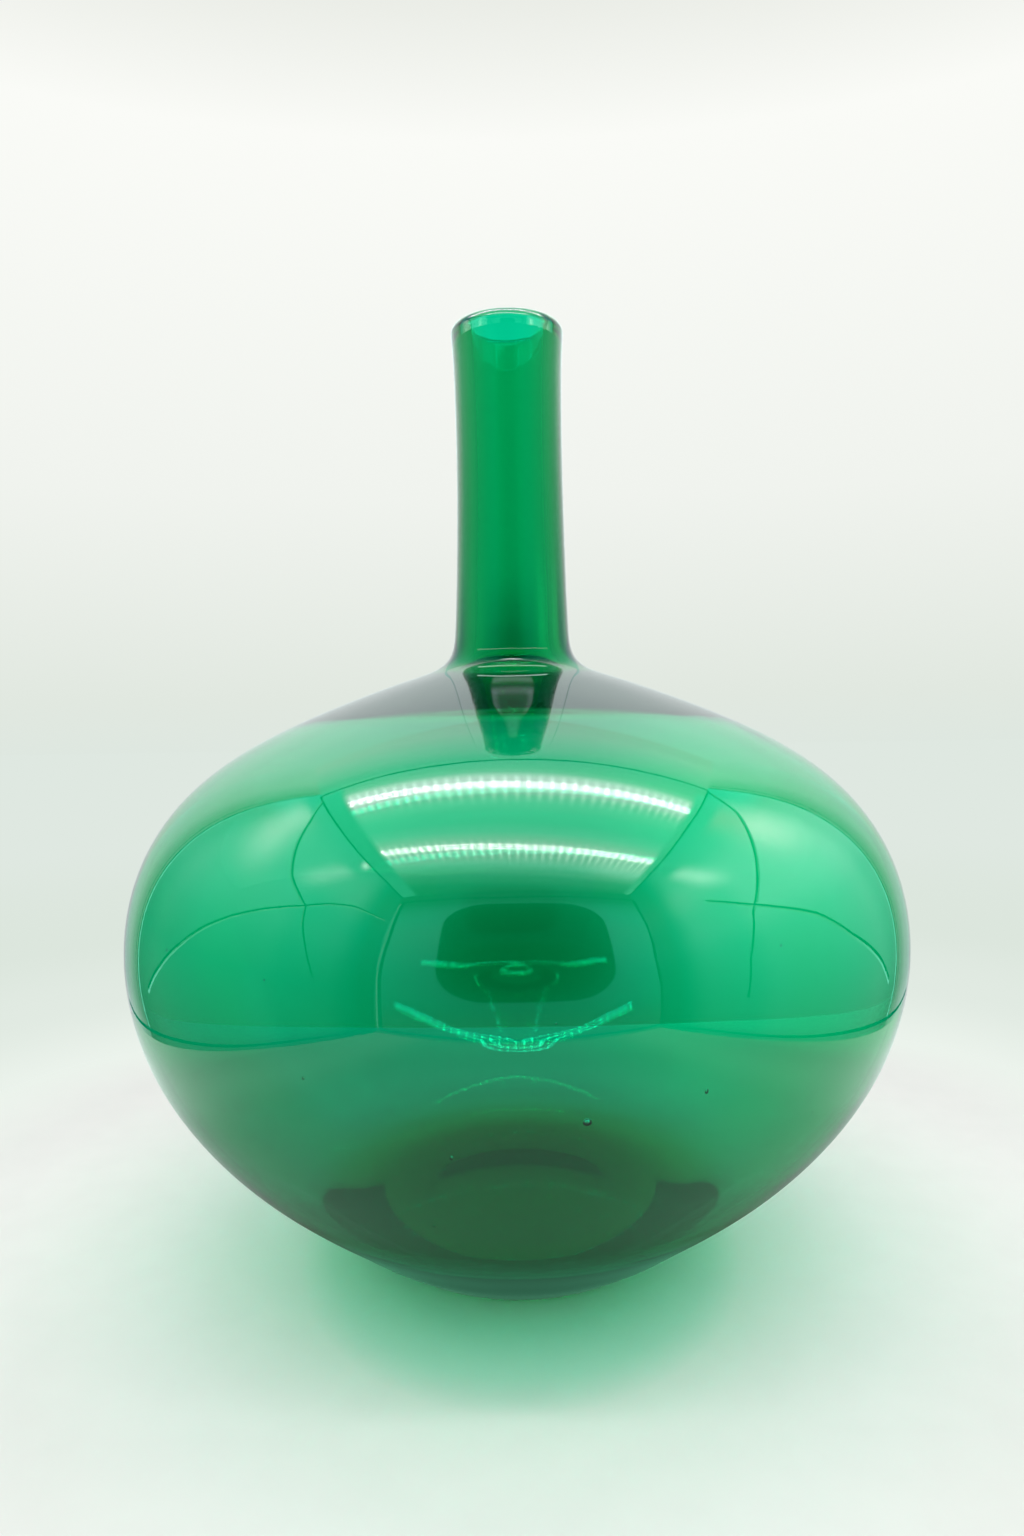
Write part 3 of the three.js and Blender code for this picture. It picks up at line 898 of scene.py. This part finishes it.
gt.links.new(ramp.outputs["Color"], glow.inputs["Color"])
matt = add(gt, "ShaderNodeBsdfDiffuse")
# floor colour by distance from under the vase: painted green light pooled under the vase, a paler ring round it, then
# painted shading that grows darker further out
pool = tone_by_distance(gt, coord.outputs["Object"], [
    (0.0, (0.42, 0.80, 0.66)), (0.053, (0.46, 0.81, 0.68)), (0.073, (0.66, 0.85, 0.76)), (0.086, (0.93, 0.88, 0.86)),
    (0.10, (0.92, 0.86, 0.85)), (0.13, (0.83, 0.80, 0.79)), (0.165, (0.76, 0.74, 0.725)), (0.25, (0.68, 0.665, 0.655))], (0.0, 0.0), 0.77)
mottle = add(gt, "ShaderNodeTexNoise")
mottle.inputs["Scale"].default_value = 60.0
mottle.inputs["Detail"].default_value = 3.0
gt.links.new(coord.outputs["Object"], mottle.inputs["Vector"])
mramp = add(gt, "ShaderNodeValToRGB")
mramp.color_ramp.elements[0].position = 0.35
mramp.color_ramp.elements[1].position = 0.65
mramp.color_ramp.elements[0].color = (0.985, 0.985, 0.985, 1)
mramp.color_ramp.elements[1].color = (1.0, 1.0, 1.0, 1)
gt.links.new(mottle.outputs["Fac"], mramp.inputs["Fac"])
# fine mottle laid over the painted light pool
mottle_and_light_pool = add(gt, "ShaderNodeMix", data_type="RGBA", blend_type="MULTIPLY")
mottle_and_light_pool.inputs[0].default_value = 1.0
gt.links.new(pool, mottle_and_light_pool.inputs[6])
gt.links.new(mramp.outputs["Color"], mottle_and_light_pool.inputs[7])
# the floor behind the vase gets more of the lamps than the floor in front
depth = add(gt, "ShaderNodeMapRange")
depth.inputs["From Min"].default_value = -0.12
depth.inputs["From Max"].default_value = 0.08
gt.links.new(sep.outputs[1], depth.inputs["Value"])
lift = add(gt, "ShaderNodeValToRGB")
lift.color_ramp.elements.new(0.5)
lift.color_ramp.elements.new(0.5)
lift.color_ramp.elements.new(0.5)
for e, (d, c) in zip(lift.color_ramp.elements, [(0.0, 0.815), (0.2, 0.857), (0.375, 0.916), (0.6, 0.966), (0.85, 1.0)]):
    e.position = d
    e.color = (c, c, c, 1)
gt.links.new(depth.outputs[0], lift.inputs["Fac"])
lifted = add(gt, "ShaderNodeMix", data_type="RGBA", blend_type="MULTIPLY")
lifted.inputs[0].default_value = 1.0
gt.links.new(mottle_and_light_pool.outputs[2], lifted.inputs[6])
gt.links.new(lift.outputs["Color"], lifted.inputs[7])
brighter = add(gt, "ShaderNodeVectorMath", operation="SCALE")
brighter.inputs["Scale"].default_value = 1.19
gt.links.new(lifted.outputs[2], brighter.inputs[0])
gt.links.new(brighter.outputs["Vector"], matt.inputs["Color"])
both = add(gt, "ShaderNodeMixShader")
gt.links.new(far_mix.outputs[0], both.inputs[0])
gt.links.new(matt.outputs[0], both.inputs[1])
gt.links.new(glow.outputs[0], both.inputs[2])
gout = add(gt, "ShaderNodeOutputMaterial")
gt.links.new(both.outputs[0], gout.inputs["Surface"])
ground.cycles.emission_sampling = "NONE"
PLANE = [[(-6, -6, 0), (6, -6, 0), (6, 6, 0), (-6, 6, 0)]]
floor = sheet("floor", PLANE, ground, ("camera", "diffuse", "shadow"))


def floor_tone(name, stops, at, stretch=1.0, right=None):
    """The same floor as the glass mirrors it or shows it: a matt tone by distance from a point."""
    m = bpy.data.materials.new(name)
    m.use_nodes = True
    t = m.node_tree
    t.nodes.clear()
    c = add(t, "ShaderNodeTexCoord")
    f = add(t, "ShaderNodeBsdfDiffuse")
    color = tone_by_distance(t, c.outputs["Object"], stops, at, stretch)
    if right:
        # more of the green light falls to the right of the vase
        s = add(t, "ShaderNodeSeparateXYZ")
        t.links.new(c.outputs["Object"], s.inputs[0])
        k = add(t, "ShaderNodeMapRange", interpolation_type="SMOOTHSTEP")
        k.inputs["From Min"].default_value = 0.02
        k.inputs["From Max"].default_value = 0.12
        t.links.new(s.outputs[0], k.inputs["Value"])
        v = add(t, "ShaderNodeVectorMath", operation="MULTIPLY")
        v.inputs[1].default_value = right
        t.links.new(color, v.inputs[0])
        x = add(t, "ShaderNodeMix", data_type="RGBA")
        t.links.new(k.outputs[0], x.inputs[0])
        t.links.new(color, x.inputs[6])
        t.links.new(v.outputs["Vector"], x.inputs[7])
        color = x.outputs[2]
    t.links.new(color, f.inputs["Color"])
    o = add(t, "ShaderNodeOutputMaterial")
    t.links.new(f.outputs[0], o.inputs["Surface"])
    return m


# the floor as the glass mirrors it: painted shade close to the vase, lighter further out and to the sides, with a
# painted green glow round the front of its foot
def floor_mirror(x, y):
    d = np.hypot(x, y)
    level = np.interp(d, [0.0, 0.07, 0.086, 0.122, 0.158, 0.203, 0.272, 0.388, 0.6], [0.03, 0.05, 0.09, 0.27, 0.42, 0.54, 0.52, 0.42, 0.40])
    level = level * (1 + 0.75 * smooth(0.16, 0.25, np.abs(x)))
    near = np.exp(-((np.hypot(x, y) - 0.062) / 0.016) ** 2) * smooth(0.01, 0.04, -y)
    return (np.stack([level, level * 1.2 + 0.03, level * 1.12], -1)) + np.array([0.02, 0.20, 0.11]) * near[..., None]


panel("floor_mirrored", 0, 1, 2, 0.0, (-HALF, HALF), (FRONT, BACK), 0.006, floor_mirror, MIRROR)
# the floor as the glass shows it: matt, with the vase's shadow painted into its colour as a darker tone round and
# behind the vase
sheet("floor_through", PLANE, floor_tone("floor_through", [
    (0.0, (0.20, 0.24, 0.21)), (0.045, (0.23, 0.28, 0.25)), (0.065, (0.28, 0.40, 0.33)), (0.10, (0.31, 0.38, 0.33)), (0.15, (0.40, 0.49, 0.42)),
    (0.20, (0.40, 0.53, 0.44)), (0.235, (0.36, 0.47, 0.39)), (0.265, (0.43, 0.57, 0.46)), (0.36, (0.48, 0.64, 0.52))], (0.0, 0.02), 1.0, (1.0, 1.55, 1.35)), THROUGH)

# --- open background ---------------------------------------------------------
world = bpy.data.worlds.new("pale_backdrop")
scene.world = world
world.use_nodes = True
wt = world.node_tree
wt.nodes.clear()
wc = add(wt, "ShaderNodeTexCoord")
ws = add(wt, "ShaderNodeSeparateXYZ")
wt.links.new(wc.outputs["Generated"], ws.inputs[0])
angle = mathn(wt, "ARCSINE", ws.outputs[2])
wm = add(wt, "ShaderNodeMapRange")
wm.inputs["From Min"].default_value = math.radians(-2.0)
wm.inputs["From Max"].default_value = math.radians(38.0)
wt.links.new(angle, wm.inputs["Value"])
wr = add(wt, "ShaderNodeValToRGB")
sky = [(-2, (222, 231, 224)), (0.9, (225, 232, 224)), (11.7, (240, 243, 238)), (28.5, (250, 251, 247)), (36, (228, 231, 224))]
while len(wr.color_ramp.elements) < len(sky):
    wr.color_ramp.elements.new(0.5)
for e, (d, c) in zip(wr.color_ramp.elements, sky):
    e.position = (d + 2) / 40
    e.color = (*srgb(*c), 1)
wt.links.new(wm.outputs[0], wr.inputs["Fac"])
wb = add(wt, "ShaderNodeBackground")
wt.links.new(wr.outputs["Color"], wb.inputs["Color"])
wo = add(wt, "ShaderNodeOutputWorld")
wt.links.new(wb.outputs[0], wo.inputs["Surface"])
world.cycles.sampling_method = "NONE"

scene.view_settings.view_transform = "Standard"
scene.cycles.max_bounces = 24
scene.cycles.diffuse_bounces = 3
scene.cycles.glossy_bounces = 16
scene.cycles.transmission_bounces = 24
scene.cycles.sample_clamp_indirect = 8.0
scene.cycles.caustics_reflective = True
scene.cycles.caustics_refractive = True
scene.cycles.blur_glossy = 0.0
